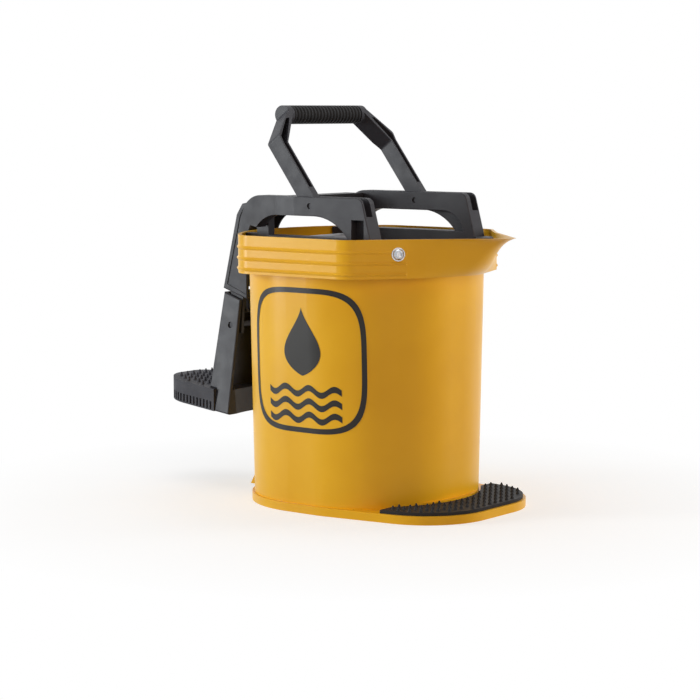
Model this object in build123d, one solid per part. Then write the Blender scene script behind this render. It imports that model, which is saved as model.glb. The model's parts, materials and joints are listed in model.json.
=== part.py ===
from build123d import *
import math
import os

# Wringer bucket with a foot lever, in millimetres. +X is the pouring spout, -X the pedal, +Z up.
# The origin is on the floor, on the plane of symmetry, under the pivots of the carry handle.

# Bucket
RIM_Z = 290.0                # top edge of the rim above the floor
BAND_HEIGHT = 40.0           # the stepped band under the top edge
LEDGE = 3.5                  # thickness of the step between body and band
WALL = 3.0                   # body wall
RIM_WALL = 3.5               # band and spout wall
FLOOR = 12.0                 # inside of the floor over the ground
FLOOR_THICK = 4.0
FOOT_RING = 14.0             # ring under the floor that the bucket stands on
FOOT_RIB = 14.0              # width of the cross inside the ring
BODY_X = -3.0                # middle of the body
TOP_HALF_LENGTH = 121.0      # body plan under the band
TOP_HALF_WIDTH = 121.0
TOP_CORNER = 108.0
FOOT_HALF_LENGTH = 118.5     # body plan on the floor
FOOT_HALF_WIDTH = 111.5
FOOT_CORNER = 100.0
RIM_HALF_WIDTH = 132.0       # band plan
RIM_REAR_X = -130.0
REAR_CORNER = 25.0
REAR_CORNER_X = -59.5
FRONT_CORNER = 25.0
FRONT_CORNER_X = 71.0        # where the side line meets the angled face
SPOUT_ANGLE = 52.0           # angled face, from the X axis
SPOUT_TIP = 8.0              # radius of the rim's point
BAND_END_X = 111.0           # the band ends here and the spout begins
SPOUT_HEIGHTS = (0.0, 16.0, 25.0, 35.0, 40.0)   # sections of the spout over the band's lower edge
SPOUT_REACHES = (27.0, 44.8, 52.0, 64.0, 76.5)  # how far each stands out in front of the band
SPOUT_ROUNDS = (52.0, 30.0, 22.0, 13.0, 9.0)    # radius of each section's tip
BEAD = 1.4                   # beads stand out from the band
BEAD_HEIGHT = 4.0
BEAD_DROPS = (13.0, 24.5, 35.5)
FLANGE = 3.0                 # foot flange round the body
FLANGE_HEIGHT = 9.0
STEP_FRONT_X = 171.0         # step plate in front of the body
STEP_HALF_WIDTH = 103.0
STEP_CORNER = 75.0
CURB = 6.0                   # ridge between body and tread
CURB_HEIGHT = 5.0
CURB_SHIFT = 20.0            # the ridge shows in front of the body only
FIN_SIZE = 8.0               # fins at the back of the foot
FIN_HEIGHT = 20.0
FIN_Y = 45.0

# Step tread
TREAD_GAP = 0.3
TREAD_EDGE = 3.0             # yellow edge left round the tread
TREAD_INNER = 124.8          # radius of the tread's inner edge
TREAD_REAR_X = 92.0          # its two ends
TREAD_THICK = 3.5
STUD_PITCH = 10.5
STUD_RADIUS = 2.2
STUD_TIP = 0.55
STUD_HEIGHT = 3.5
STUD_MARGIN = 3.3            # least way from a stud's middle to the tread's edge

# Side frames
FRAME_INSET = 30.0           # outer face inside the rim
FRAME_THICK = 20.0
ARM_STEP = 4.0               # the arm is thinner on its outer face behind the handle
ARM_STEP_REAR_X = -49.0
ARM_STEP_FRONT_X = -21.0
ARM_TOP_Z = 331.0
ARM_DEPTH = 20.0
LEG_TOP_X = 68.0             # front edge of the leg at the arm's top
LEG_LEAN = 0.275             # the leg runs forward as it goes down
LEG_CORNER = 8.0
FRAME_EDGE = 1.0             # rounding of the frame's outline
LEG_PAD = 12.0               # the leg is wider in this outer part of the frame's thickness
LEG_WIDTHS = (30.0, 13.5)     # width at the rim, of the outer part and of the inner part
KNUCKLE_X = -70.0            # rear end of the arm bends down round this point
KNUCKLE_RADIUS = 26.0
KNUCKLE_GAP = 7.0            # lower end of the knuckle over the rim
KNUCKLE_SLANT = 5.0          # its lower edge falls to the front
WINDOW_REAR_X = -48.0
WINDOW_FRONT_XS = (5.0, 38.0)  # where the window's front arch starts, outer and inner part
WINDOW_DROP = 0.5            # window's lower edge under the rim
PLATE_REAR_X = -58.0
PLATE_BOTTOM_Z = 235.0
POCKET = (16.0, 21.0, 9.0)   # recess in the leg: length, height, depth
SLOT_INSET = 7.5             # middle of the slot inside the outer face
SLOT_SIDE = 0.3              # on each side of the handle's leg
SLOT_PLAY = 0.5              # under the leg's eye and behind the leaning leg

# Rollers
ROLLER_RADIUS = 18.0
ROLLER_WALL = 4.0
ROLLER_GAP = 3.0             # between a roller and the lever arms
AXLE_RADIUS = 5.0
FRONT_ROLLER_X = -28.0
FRONT_ROLLER_Z = 256.0
REAR_ROLLER_X = -74.0
REAR_ROLLER_Z = 266.0
BUSH_DEPTH = 14.0
CLIP_THICK = 1.5
CLIP_RADIUS = 8.0
RUNNING = 0.05               # radial clearance of pins and shafts
SIDE_PLAY = 0.2              # end play

# Lever
HINGE_X = -82.0
HINGE_Z = 313.0
HINGE_RADIUS = 4.5
HINGE_BUSH = 6.5
HINGE_DEPTH = 11.0           # of the bush in the side frame
LEVER_ARM_THICK = 10.0
LEVER_ARM_GAP = 2.0          # between lever arm and side frame
LEVER_ARM_WIDTH = 24.0
LEVER_ARM_FRONT = 8.0        # front edge of the arm in front of the hinge
BEAM_RISE = 15.0             # top of the cross beam over the hinge
HOOD_HALF = 27.0             # half width of the hood and of the pedal leg's top
SHELL = 3.0                  # hood and pedal leg wall
SHELL_EDGE = 1.8             # rounding of their edges
HOOD_FRONT_X = -150.2        # front edge of the cheeks behind the rim
HOOD_ROOF_Z = 308.2          # roof's underside over the rim
HOOD_FALL = 3.0              # the roof falls from the cross beam to the rear corner
HOOD_CORNER = 8.0            # slanted rear corner
HOOD_LEAN = 0.235            # rear face runs forward as it goes up
ARCH_DROP = 19.0             # the arch over the rim starts this far under the rim
ARCH_MIDDLE = (9.0, 9.0)     # point of the arch, from the cheek's front edge and from the rim
ARCH_REACH = 30.0
LIP_REAR = (-185.8, 222.0)   # lower edge of the hood, X and Z
LIP_SLOPE = 0.317
LIP_GAP = 3.5
CHEEK_LIP = 5.0              # raised edge round the cheek
CHEEK_RECESS = 0.8
STOP_GAP = 0.4
STOP_HEIGHT = 12.0
ARM_KINK = 4.0               # the roller arm bends forward this far under the rim
PEDAL_PIN_X = -170.8
PEDAL_PIN_Z = 181.6
PEDAL_PIN_RADIUS = 3.5
TONGUE_THICK = 4.0
TONGUE_HALF = 9.0
TONGUE_GAP = 0.2
LEG_FOOT_X = -163.0          # lowest point of the leg's front edge
LEG_FOOT_Z = 82.0
LEG_FOOT_HALF = 45.5         # the leg grows wider towards the foot
LEG_LEAN_REAR = 0.085        # rear edge runs back as it goes down
LEG_LEAN_FRONT = 0.03
LEG_STEP = 1.4               # rear edge of the leg in front of the hood's
FOOT_TILT = 7.0              # the foot plate rises to the rear
FOOT_DEPTH = 25.0
BOOT_FRONT_X = -184.0
BOOT_REAR_X = -265.0
BOOT_HALF = 46.0
BOOT_CORNER = 36.0
BOOT_WALL = 4.0
BOOT_STUD_HEIGHT = 4.8
COMB_SLOTS = 13
COMB_PITCH = 5.0
COMB_WIDTH = 2.4
COMB_HEIGHT = 9.0
COMB_DEPTH = 1.5

# Return spring
SPRING_Z = 204.0
SPRING_RADIUS = 10.0
SPRING_WIRE = 1.2
SPRING_TURNS = 7
SPRING_GAP = 0.5
SPIGOT_RADIUS = 7.5
SPIGOT_LENGTH = 6.0

# Handle
PIVOT_Z = 321.5
HANDLE_LEAN = 36.9           # rests leaning to the rear
HANDLE_LEG = 18.0            # leg seen from the side
HANDLE_THICK = 9.6
HANDLE_WALL = 2.2
ELBOW_LENGTH = 85.0          # pivot to elbow
ELBOW_ROUND = 5.0            # corners of the yoke
GRIP_LENGTH = 113.7          # pivot to the grip's axis
GRIP_FORWARD = 5.0           # grip's axis in front of the leg's middle line
BOSS_RADIUS = 10.0           # round end of the arm on the bar
CHANNEL_FLOOR = 4.0          # wall behind the channel
GRIP_GAP = 0.4               # between sleeve and boss
BAR_HALF = 68.0
BAR_RADIUS = 7.0
GRIP_RADIUS = 10.0
GRIP_RIBS = 21
GRIP_GROOVE = 1.6
RIB_SHARES = (0.2, 0.65, 0.85)               # where a rib is full, ends, and meets the groove
PIN_RADIUS = 3.0
PIN_RECESS = 1.5

# Fasteners
SCREW_X = 105.0
SCREW_DROP = 15.0            # under the rim's top edge
SCREW_RADIUS = 2.5
SCREW_LENGTH = 17.0
HEAD_RADIUS = 6.0
HEAD_HEIGHT = 4.2
SOCKET_RADIUS = 2.9          # hexagon socket in the head
SOCKET_DEPTH = 2.4
WASHER_RADIUS = 7.0
WASHER_THICK = 1.2
LUG_DEPTH = 18.0             # of the blocks that take the screws
TIE_X = 30.0
TIE_Z = 262.0
TIE_RADIUS = 4.0
NUT_RADIUS = 6.5
NUT_THICK = 5.0

BAND_Z = RIM_Z - BAND_HEIGHT
LEDGE_Z = BAND_Z + LEDGE
SLOT_FLOOR_Z = PIVOT_Z - HANDLE_LEG / 2 - SLOT_PLAY
FRAME_OUTER_Y = RIM_HALF_WIDTH - FRAME_INSET
FRAME_INNER_Y = FRAME_OUTER_Y - FRAME_THICK
FRAME_MID_Y = FRAME_OUTER_Y - FRAME_THICK / 2
HANDLE_Y = FRAME_OUTER_Y - SLOT_INSET
GRIP_HALF = BAR_HALF - HANDLE_THICK - GRIP_GAP
LEVER_OUTER_Y = FRAME_INNER_Y - LEVER_ARM_GAP
LEVER_INNER_Y = LEVER_OUTER_Y - LEVER_ARM_THICK
ROLLER_HALF = LEVER_INNER_Y - ROLLER_GAP
ARM_BOTTOM_Z = ARM_TOP_Z - ARM_DEPTH
ANGLE = math.radians(SPOUT_ANGLE)
TILT = math.tan(math.radians(FOOT_TILT))
ROOT_HALF = math.sqrt(0.5)


def rounded(half_length, half_width, corner, z, inset=0.0):
    """Plan of the body at height z: a rectangle with large corners."""
    plan = RectangleRounded(2 * (half_length - inset), 2 * (half_width - inset), corner - inset)
    return Pos(BODY_X, 0, z) * plan


def arc_through(centre, radius, start, end):
    """Arc about centre between two directions, in degrees."""
    def at(angle):
        turn = math.radians(angle)
        return (centre[0] + radius * math.cos(turn), centre[1] + radius * math.sin(turn))
    return ThreePointArc(at(start), at((start + end) / 2), at(end)), at(start), at(end)


def rear_arc_centre():
    """The rear arc's centre lies on the X axis, where the arc runs into the corner circles."""
    rise = RIM_HALF_WIDTH - REAR_CORNER
    reach = -RIM_REAR_X - REAR_CORNER
    return (rise ** 2 + REAR_CORNER_X ** 2 - reach ** 2) / (2 * (reach + REAR_CORNER_X))


def rim_face(out=0.0):
    """Plan of the rim, moved outwards by out. All round stretches keep their centres."""
    centre_x = rear_arc_centre()
    corner_y = -(RIM_HALF_WIDTH - REAR_CORNER)
    meet = math.degrees(math.atan2(corner_y, REAR_CORNER_X - centre_x))
    front_x = FRONT_CORNER_X - FRONT_CORNER * math.tan(ANGLE / 2)
    front_y = -(RIM_HALF_WIDTH - FRONT_CORNER)
    face_turn = SPOUT_ANGLE - 90
    height = math.sin(ANGLE) * FRONT_CORNER_X + math.cos(ANGLE) * RIM_HALF_WIDTH
    tip_x = (height - SPOUT_TIP) / math.sin(ANGLE)
    rear_radius = centre_x - RIM_REAR_X
    rear, rear_far, rear_near = arc_through((centre_x, 0), rear_radius + out, -360 - meet, meet)
    corner, _, side_start = arc_through((REAR_CORNER_X, corner_y), REAR_CORNER + out, meet, -90)
    front, side_end, face_start = arc_through((front_x, front_y), FRONT_CORNER + out, -90, face_turn)
    tip, face_end, _ = arc_through((tip_x, 0), SPOUT_TIP + out, face_turn, -face_turn)
    near = [corner, Line(side_start, side_end), front, Line(face_start, face_end)]
    far = [mirror(edge, about=Plane.XZ) for edge in near]
    return make_face(Curve() + [rear, tip] + near + far)


def face_y(x, out=0.0):
    """Half width of the angled faces at x."""
    return RIM_HALF_WIDTH - (x - FRONT_CORNER_X) * math.tan(ANGLE) + out / math.cos(ANGLE)


def spout_section(z, back_x, tip_x, radius, out):
    """Plan of the spout at height z: two straight lines that run into a round tip."""
    near = (back_x, -face_y(back_x, out))
    centre = tip_x + out - radius
    reach = math.hypot(near[0] - centre, near[1])
    turn = math.atan2(near[1], near[0] - centre) + math.acos(radius / reach)
    touch = (centre + radius * math.cos(turn), radius * math.sin(turn))
    far = (near[0], -near[1])
    edges = [
        Line(near, touch),
        ThreePointArc(touch, (centre + radius, 0), (touch[0], -touch[1])),
        Line((touch[0], -touch[1]), far),
        Line(far, near),
    ]
    return Pos(0, 0, z) * make_face(Curve() + edges)


def spout(out, lift, back_x):
    """Scoop from the body's front up to the rim's tip, lofted through its sections.
    Out moves the wall outwards, and lift raises the lower sections for the inner face."""
    sections = []
    for height, reach, radius in zip(SPOUT_HEIGHTS, SPOUT_REACHES, SPOUT_ROUNDS):
        raised = height + lift * (1 - height / BAND_HEIGHT)
        sections.append(spout_section(BAND_Z + raised, back_x, BAND_END_X + reach, radius + out, out))
    return loft(sections)


def prism(face, z_low, z_high):
    """Upright solid over a plan."""
    return extrude(Pos(0, 0, z_low) * face, z_high - z_low, dir=(0, 0, 1))


def behind(x):
    """Half space of all points behind x, large enough for the whole part."""
    size = 1200.0
    return Pos(x - size / 2, 0, 0) * Box(size, size, size)


def outline_face(steps):
    """Face inside a closed line. A step is a point, or a point on an arc followed by the arc's end."""
    edges = []
    last = steps[0]
    for step in list(steps[1:]) + [steps[0]]:
        if len(step) == 4:
            edges.append(ThreePointArc(last, step[:2], step[2:]))
        else:
            edges.append(Line(last, step))
        last = step[-2:]
    return make_face(Curve() + edges)


def slab(steps, y_low, y_high):
    """Plate with an outline in the XZ plane, between two Y values."""
    face = Plane.XZ * outline_face(steps)
    return extrude(Pos(0, y_low, 0) * face, y_high - y_low, dir=(0, 1, 0))


def round_sides(plate, radius):
    """Round the outline of a plate on both of its Y faces."""
    sides = plate.faces().sort_by(Axis.Y)
    return fillet(sides[0].edges() + sides[-1].edges(), radius)


def rod(x, z, radius, y_low, y_high):
    """Cylinder along Y."""
    return Pos(x, (y_low + y_high) / 2, z) * Rot(90, 0, 0) * Cylinder(radius, y_high - y_low)


def pipe(x, z, outer, inner, y_low, y_high):
    """Tube along Y."""
    return rod(x, z, outer, y_low, y_high) - rod(x, z, inner, y_low, y_high)


def both_sides(shape):
    """The far piece and its mirrored near piece, as two separate solids."""
    return Compound(children=[shape, mirror(shape, about=Plane.XZ)])


def bucket():
    """Moulded bucket: body, band, spout, foot flange and step plate in one wall."""
    foot = rounded(FOOT_HALF_LENGTH, FOOT_HALF_WIDTH, FOOT_CORNER, 0)
    top = rounded(TOP_HALF_LENGTH, TOP_HALF_WIDTH, TOP_CORNER, BAND_Z)
    outer = loft([foot, top])
    outer += prism(rim_face(), BAND_Z, RIM_Z) & behind(BAND_END_X)
    outer += spout(0.0, 0.0, BAND_END_X)
    for drop in BEAD_DROPS:
        outer += bead(RIM_Z - drop) & behind(BAND_END_X)
    outer += prism(base_plan(0.0), 0, FLANGE_HEIGHT)
    curb = Pos(BODY_X + CURB_SHIFT, 0) * Circle(FOOT_HALF_LENGTH + CURB - CURB_SHIFT)
    ridge = prism(curb, 0, FLANGE_HEIGHT + CURB_HEIGHT)
    outer += ridge & prism(base_plan(2 * TREAD_EDGE), 0, FLANGE_HEIGHT + CURB_HEIGHT)
    rear_x = BODY_X - FOOT_HALF_LENGTH
    for side in (-1, 1):
        fin = [(rear_x + FIN_SIZE, FLANGE_HEIGHT), (rear_x - FIN_SIZE, FLANGE_HEIGHT)]
        fin.append((rear_x + FIN_SIZE, FLANGE_HEIGHT + FIN_HEIGHT + FIN_SIZE))
        outer += slab(fin, side * FIN_Y - WALL / 2, side * FIN_Y + WALL / 2)
    outer += spring_spigot()
    low = rounded(FOOT_HALF_LENGTH, FOOT_HALF_WIDTH, FOOT_CORNER, FLOOR, WALL)
    high = rounded(TOP_HALF_LENGTH, TOP_HALF_WIDTH, TOP_CORNER, LEDGE_Z, WALL)
    inner = loft([low, high])
    inner += prism(rim_face(-RIM_WALL), LEDGE_Z, RIM_Z) & behind(BAND_END_X - RIM_WALL)
    inner += spout(-RIM_WALL, LEDGE, BAND_END_X - RIM_WALL)
    ring = rounded(FOOT_HALF_LENGTH, FOOT_HALF_WIDTH, FOOT_CORNER, 0, FOOT_RING)
    under = prism(ring, 0, FLOOR - FLOOR_THICK)
    under -= Box(2 * FOOT_HALF_LENGTH, FOOT_RIB, 2 * FLOOR)
    under -= Box(FOOT_RIB, 2 * FOOT_HALF_WIDTH, 2 * FLOOR)
    shell = outer - inner - under
    for side in (-1, 1):
        shell -= screw_frame(side) * Cylinder(SCREW_RADIUS + RUNNING, 4 * SCREW_LENGTH)
        shell -= screw_frame(side) * Pos(0, 0, BEAD) * Cylinder(WASHER_RADIUS + SIDE_PLAY, 2 * BEAD)
    return shell


def bead(middle):
    """Rib all round the band: the plan swells from the band's face to the bead and back."""
    sections = []
    for step in (-1, 0, 1):
        swell = BEAD * (1 - abs(step))
        sections.append(Pos(0, 0, middle + step * BEAD_HEIGHT / 2) * rim_face(swell))
    return loft(sections, ruled=True)


def base_plan(inset):
    """Plan of the foot: flange round the body, drawn out in straight lines to the step plate."""
    body_x = FOOT_HALF_LENGTH - FOOT_CORNER
    body_y = FOOT_CORNER - FOOT_HALF_WIDTH
    step_x = STEP_FRONT_X - STEP_CORNER
    step_y = STEP_CORNER - STEP_HALF_WIDTH
    body_radius = FOOT_CORNER + FLANGE - inset
    step_radius = STEP_CORNER - inset
    run = (step_x - BODY_X - body_x, step_y - body_y)
    lean = math.atan2(run[1], run[0]) - math.acos((body_radius - step_radius) / math.hypot(*run))
    side = math.degrees(lean)
    rear, rear_end, side_start = arc_through((BODY_X - body_x, body_y), body_radius, -180, -90)
    waist, waist_start, waist_end = arc_through((BODY_X + body_x, body_y), body_radius, -90, side)
    corner, corner_start, corner_end = arc_through((step_x, step_y), step_radius, side, 0)
    near = [rear, Line(side_start, waist_start), waist, Line(waist_end, corner_start), corner]
    far = [mirror(edge, about=Plane.XZ) for edge in near]
    back = Line(rear_end, (rear_end[0], -rear_end[1]))
    front = Line(corner_end, (corner_end[0], -corner_end[1]))
    return make_face(Curve() + near + far + [back, front])


def step_tread():
    """Rubber crescent with pointed studs on the step plate."""
    bottom = FLANGE_HEIGHT
    top = bottom + TREAD_THICK
    inner_x = BODY_X + FOOT_HALF_LENGTH + CURB + TREAD_GAP - TREAD_INNER
    tread = prism(base_plan(TREAD_EDGE), bottom, top)
    tread -= Pos(inner_x, 0, bottom) * Cylinder(TREAD_INNER, 4 * TREAD_THICK)
    tread -= behind(TREAD_REAR_X)
    corner_x = STEP_FRONT_X - STEP_CORNER
    corner_y = STEP_HALF_WIDTH - STEP_CORNER
    rim = STEP_CORNER - TREAD_EDGE - STUD_MARGIN
    studs = []
    rows = int(2 * STEP_HALF_WIDTH / STUD_PITCH)
    for row in range(rows + 1):
        for column in range(rows + 1):
            x = STEP_FRONT_X - 2 * TREAD_EDGE - STUD_RADIUS - STUD_PITCH * row
            y = STUD_PITCH * (column - rows / 2 + 0.5 * (row % 2))
            inside = math.hypot(max(x - corner_x, 0), max(abs(y) - corner_y, 0)) < rim
            clear = math.hypot(x - inner_x, y) > TREAD_INNER + STUD_MARGIN
            if inside and clear and x > TREAD_REAR_X + STUD_MARGIN:
                stud = Cone(STUD_RADIUS, STUD_TIP, STUD_HEIGHT)
                studs.append(Pos(x, y, top + STUD_HEIGHT / 2) * stud)
    return tread + studs


def screw_frame(side):
    """Location of a rim screw: Z points out of the angled face. Side is -1 near, 1 far."""
    x = SCREW_X
    place = Plane(
        origin=(x, side * face_y(x), RIM_Z - SCREW_DROP),
        x_dir=(0, 0, 1),
        z_dir=(math.sin(ANGLE), side * math.cos(ANGLE), 0),
    )
    return place.location


def leg_front(z):
    """Front edge of the leg at height z."""
    return LEG_TOP_X + (ARM_TOP_Z - z) * LEG_LEAN


def frame_outline(window_front_x, leg_width):
    """Arm, knuckle, leg and roller plate seen from the side."""
    knuckle_z = ARM_TOP_Z - KNUCKLE_RADIUS
    rear_x = KNUCKLE_X - KNUCKLE_RADIUS
    inner_x = rear_x + ARM_DEPTH
    window_z = RIM_Z - WINDOW_DROP
    inside_x = leg_front(RIM_Z) - leg_width
    bend = KNUCKLE_RADIUS * ROOT_HALF
    spring_z = RIM_Z + KNUCKLE_GAP
    return [
        (leg_front(LEDGE_Z), LEDGE_Z),
        (leg_front(ARM_TOP_Z), ARM_TOP_Z),
        (KNUCKLE_X, ARM_TOP_Z),
        (KNUCKLE_X - bend, knuckle_z + bend, rear_x, knuckle_z),
        (rear_x, spring_z + KNUCKLE_SLANT),
        (inner_x, spring_z),
        arch_middle(WINDOW_REAR_X, inner_x, spring_z) + (WINDOW_REAR_X, ARM_BOTTOM_Z),
        (window_front_x, ARM_BOTTOM_Z),
        arch_middle(window_front_x, inside_x, window_z) + (inside_x, window_z),
        (PLATE_REAR_X, window_z),
        (PLATE_REAR_X, PLATE_BOTTOM_Z + ROLLER_RADIUS),
        (FRONT_ROLLER_X - ROLLER_RADIUS, PLATE_BOTTOM_Z),
        (FRONT_ROLLER_X + ROLLER_RADIUS, PLATE_BOTTOM_Z),
        (TIE_X + ROLLER_RADIUS, LEDGE_Z),
    ]


def side_frame_far():
    """Arm, knuckle, leg and roller plate of the far side, one moulding of an outer and an inner part."""
    y0, y1 = FRAME_INNER_Y, FRAME_OUTER_Y
    rear_x = KNUCKLE_X - KNUCKLE_RADIUS
    halves = []
    for part, (low, high) in enumerate(((y1 - LEG_PAD, y1), (y0, y1 - LEG_PAD))):
        half = slab(frame_outline(WINDOW_FRONT_XS[part], LEG_WIDTHS[part]), low, high)
        half = fillet(edge_at(half, leg_front(ARM_TOP_Z), ARM_TOP_Z), LEG_CORNER)
        sides = half.faces().sort_by(Axis.Y)
        halves.append(fillet(sides[part - 1].edges(), FRAME_EDGE))
    frame = halves[0] + halves[1]
    step = [
        (rear_x - FRAME_EDGE, y1 + FRAME_EDGE),
        (rear_x - FRAME_EDGE, y1 - ARM_STEP),
        (ARM_STEP_REAR_X, y1 - ARM_STEP),
        (ARM_STEP_FRONT_X, y1),
        (ARM_STEP_FRONT_X, y1 + FRAME_EDGE),
    ]
    frame -= prism(make_face(Polyline(*step, close=True)), RIM_Z, ARM_TOP_Z + FRAME_EDGE)
    lug_low = RIM_Z - SCREW_DROP - LUG_DEPTH / 2
    lug_x = leg_front(lug_low) - LEG_CORNER
    reach = SCREW_X + 2 * LUG_DEPTH
    lug = Pos((lug_x + reach) / 2, FRAME_MID_Y, lug_low + LUG_DEPTH / 2)
    lug = lug * Box(reach - lug_x, FRAME_THICK, LUG_DEPTH)
    block = Pos(0, 0, -RIM_WALL - LUG_DEPTH / 2) * Box(LUG_DEPTH, LUG_DEPTH, LUG_DEPTH)
    lug += screw_frame(1) * block
    frame += lug & prism(rim_face(-RIM_WALL), BAND_Z, RIM_Z) & behind(BAND_END_X - RIM_WALL)
    slot_rear = slot_rear_x()
    slot_width = HANDLE_THICK + 2 * SLOT_SIDE
    slot_size = (leg_front(BAND_Z) - slot_rear, slot_width, ARM_TOP_Z - SLOT_FLOOR_Z)
    slot = Box(*slot_size, align=(Align.MIN, Align.CENTER, Align.MIN))
    frame -= Pos(slot_rear, HANDLE_Y, SLOT_FLOOR_Z) * slot
    pocket = Box(POCKET[0], 2 * POCKET[2], POCKET[1], align=(Align.MAX, Align.CENTER, Align.MAX))
    frame -= Pos(leg_front(ARM_BOTTOM_Z) - HANDLE_WALL, y1, ARM_BOTTOM_Z - HANDLE_WALL) * pocket
    frame -= rod(0, PIVOT_Z, PIN_RADIUS + RUNNING, y0 - 1, y1 + 1)
    frame -= rod(FRONT_ROLLER_X, FRONT_ROLLER_Z, AXLE_RADIUS + RUNNING, y0 - 1, y1 + 1)
    frame -= rod(TIE_X, TIE_Z, TIE_RADIUS + RUNNING, y0 - 1, y1 + 1)
    frame -= rod(HINGE_X, HINGE_Z, HINGE_BUSH + RUNNING, y0 - 1, y0 + HINGE_DEPTH)
    frame -= screw_frame(1) * Cylinder(SCREW_RADIUS + RUNNING, 2 * SCREW_LENGTH + 2)
    return frame


def arch_middle(top_x, end_x, end_z):
    """Middle of the arc that leaves the arm's underside level at top_x and comes down to the end point."""
    drop = ARM_BOTTOM_Z - end_z
    radius = ((end_x - top_x) ** 2 + drop ** 2) / (2 * drop)
    centre_z = ARM_BOTTOM_Z - radius
    turn = (math.pi / 2 + math.atan2(end_z - centre_z, end_x - top_x)) / 2
    return (top_x + radius * math.cos(turn), centre_z + radius * math.sin(turn))


def edge_at(solid, x, z):
    """Edges along Y that pass through x and z."""
    edges = solid.edges().filter_by(Axis.Y)
    near = min(math.hypot(e.center().X - x, e.center().Z - z) for e in edges)
    return ShapeList(e for e in edges if math.hypot(e.center().X - x, e.center().Z - z) < near + 0.01)


def slot_rear_x():
    """The slot ends where the leaning leg rests on its upper edge."""
    lean = math.radians(HANDLE_LEAN)
    rise = ARM_TOP_Z - PIVOT_Z
    return -(rise * math.tan(lean) + HANDLE_LEG / 2 / math.cos(lean)) - SLOT_PLAY


def roller(x, z):
    """Hollow roller."""
    return pipe(x, z, ROLLER_RADIUS, ROLLER_RADIUS - ROLLER_WALL, -ROLLER_HALF, ROLLER_HALF)


def roller_bushes(x, z, end_y):
    """Stepped bushes pressed into the roller's ends; the collar reaches the carrier at end_y."""
    plug = ROLLER_RADIUS - ROLLER_WALL - RUNNING
    collar_end = end_y - SIDE_PLAY
    bush = rod(x, z, plug, ROLLER_HALF - BUSH_DEPTH, ROLLER_HALF)
    bush += rod(x, z, (plug + AXLE_RADIUS) / 2, ROLLER_HALF, collar_end)
    bush -= rod(x, z, AXLE_RADIUS + RUNNING, ROLLER_HALF - BUSH_DEPTH, collar_end)
    return both_sides(bush)


def axle(x, z, carrier_y):
    """Fixed shaft that passes through its carriers, with a groove's width left for each clip."""
    end = carrier_y + 3 * CLIP_THICK
    return rod(x, z, AXLE_RADIUS, -end, end)


def axle_clips():
    """Four retaining rings outside the carriers."""
    rings = []
    for x, z, y in (
        (FRONT_ROLLER_X, FRONT_ROLLER_Z, FRAME_OUTER_Y),
        (REAR_ROLLER_X, REAR_ROLLER_Z, LEVER_OUTER_Y),
    ):
        ring = pipe(x, z, CLIP_RADIUS, AXLE_RADIUS + RUNNING, y, y + CLIP_THICK)
        rings += [ring, mirror(ring, about=Plane.XZ)]
    return rings


def lip_z(x):
    """Lower edge of the hood."""
    return LIP_REAR[1] - (x - LIP_REAR[0]) * LIP_SLOPE


def hood_outline():
    """Cheek of the hood: over the rim, round the corner and down behind the bucket."""
    beam_top = HINGE_Z + BEAM_RISE
    beam_rear = HINGE_X - LEVER_ARM_WIDTH / 2
    corner_x = LIP_REAR[0] + (HOOD_ROOF_Z - LIP_REAR[1]) * HOOD_LEAN
    return [
        (HINGE_X, beam_top),
        (beam_rear - LEVER_ARM_WIDTH, beam_top - HOOD_FALL),
        (corner_x + HOOD_CORNER, HOOD_ROOF_Z + 3 * SHELL),
        (corner_x, HOOD_ROOF_Z - SHELL),
        LIP_REAR,
        (HOOD_FRONT_X, lip_z(HOOD_FRONT_X)),
        (HOOD_FRONT_X, RIM_Z - ARCH_DROP),
        (HOOD_FRONT_X + ARCH_MIDDLE[0], RIM_Z + ARCH_MIDDLE[1], HOOD_FRONT_X + ARCH_REACH, HOOD_ROOF_Z),
        (beam_rear, HOOD_ROOF_Z),
        (HINGE_X, HINGE_Z),
    ]


def hood_inside():
    """Hollow of the hood, open to the bucket and downwards."""
    outline = hood_outline()
    low = lip_z(HOOD_FRONT_X) - 2 * SHELL
    run = (outline[3][0] - LIP_REAR[0]) / (outline[3][1] - LIP_REAR[1])
    return [
        (HINGE_X - LEVER_ARM_WIDTH / 2 - SHELL, HOOD_ROOF_Z - 2 * SHELL),
        (outline[1][0], outline[1][1] - SHELL - HOOD_FALL),
        (outline[2][0] + SHELL, outline[2][1] - SHELL),
        (outline[3][0] + SHELL, outline[3][1]),
        (LIP_REAR[0] + SHELL + (low - LIP_REAR[1]) * run, low),
        (HOOD_FRONT_X + LEVER_ARM_WIDTH, low),
    ]


def cheek_panel():
    """Sunk face of the cheek, inside the raised edge at its top, rear and lower sides."""
    top, corner, rear, lip = hood_outline()[1:5]
    run = (rear[0] - lip[0]) / (rear[1] - lip[1])
    low = lip[1] + CHEEK_LIP
    return [
        (top[0], top[1] - CHEEK_LIP),
        (corner[0] + CHEEK_LIP / 2, corner[1] - CHEEK_LIP),
        (rear[0] + CHEEK_LIP, rear[1] - CHEEK_LIP / 2),
        (lip[0] + CHEEK_LIP + CHEEK_LIP * run, low),
        (HOOD_FRONT_X - SHELL_EDGE, lip_z(HOOD_FRONT_X - SHELL_EDGE) + CHEEK_LIP),
        (HOOD_FRONT_X - SHELL_EDGE, RIM_Z - ARCH_DROP),
        (top[0], HOOD_ROOF_Z + SHELL),
    ]


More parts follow.
